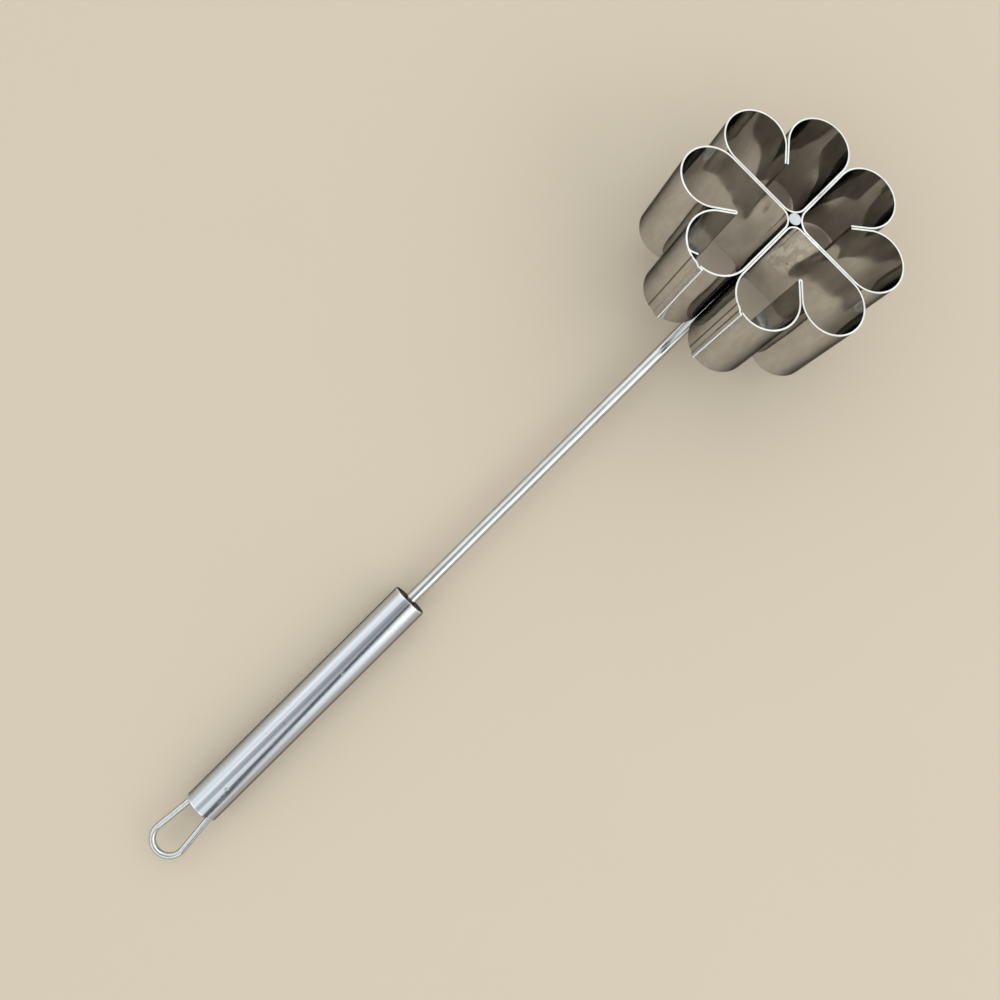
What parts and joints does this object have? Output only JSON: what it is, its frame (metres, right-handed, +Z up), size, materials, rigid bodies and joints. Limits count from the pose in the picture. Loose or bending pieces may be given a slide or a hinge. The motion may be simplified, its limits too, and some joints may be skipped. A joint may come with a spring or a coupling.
{
  "type": "fritter iron",
  "caption": "Long-handled fritter iron: heart-bent steel strips set round a pin form a petalled head, leaning up from a rod, tubular handle and wire hanging loop.",
  "frame": {"origin": "middle of the footprint on the table, as the iron lies with the face of its head up", "axes": "+X from the handle to the head, +Y to the left of that, +Z up from the table"},
  "size_m": [0.4086, 0.0922, 0.0702],
  "materials": {
    "strip_steel": "bright rolled strip with polished cut edges",
    "rod_steel": "bright drawn bar",
    "weld_metal": "dull bead, as welded",
    "tube_steel": "drawn tube, brushed lengthwise",
    "plug_steel": "dull, unfinished",
    "wire_steel": "bright drawn wire"
  },
  "bodies": {
    "root": {"far_left_heart": "strip_steel", "far_right_heart": "strip_steel", "near_left_heart": "strip_steel", "near_right_heart": "strip_steel", "bent_rod": "rod_steel", "hub_weld": "weld_metal", "handle_tube": "tube_steel", "front_plug": "plug_steel", "rear_plug": "plug_steel", "hanging_loop": "wire_steel"}
  },
  "joints": []
}
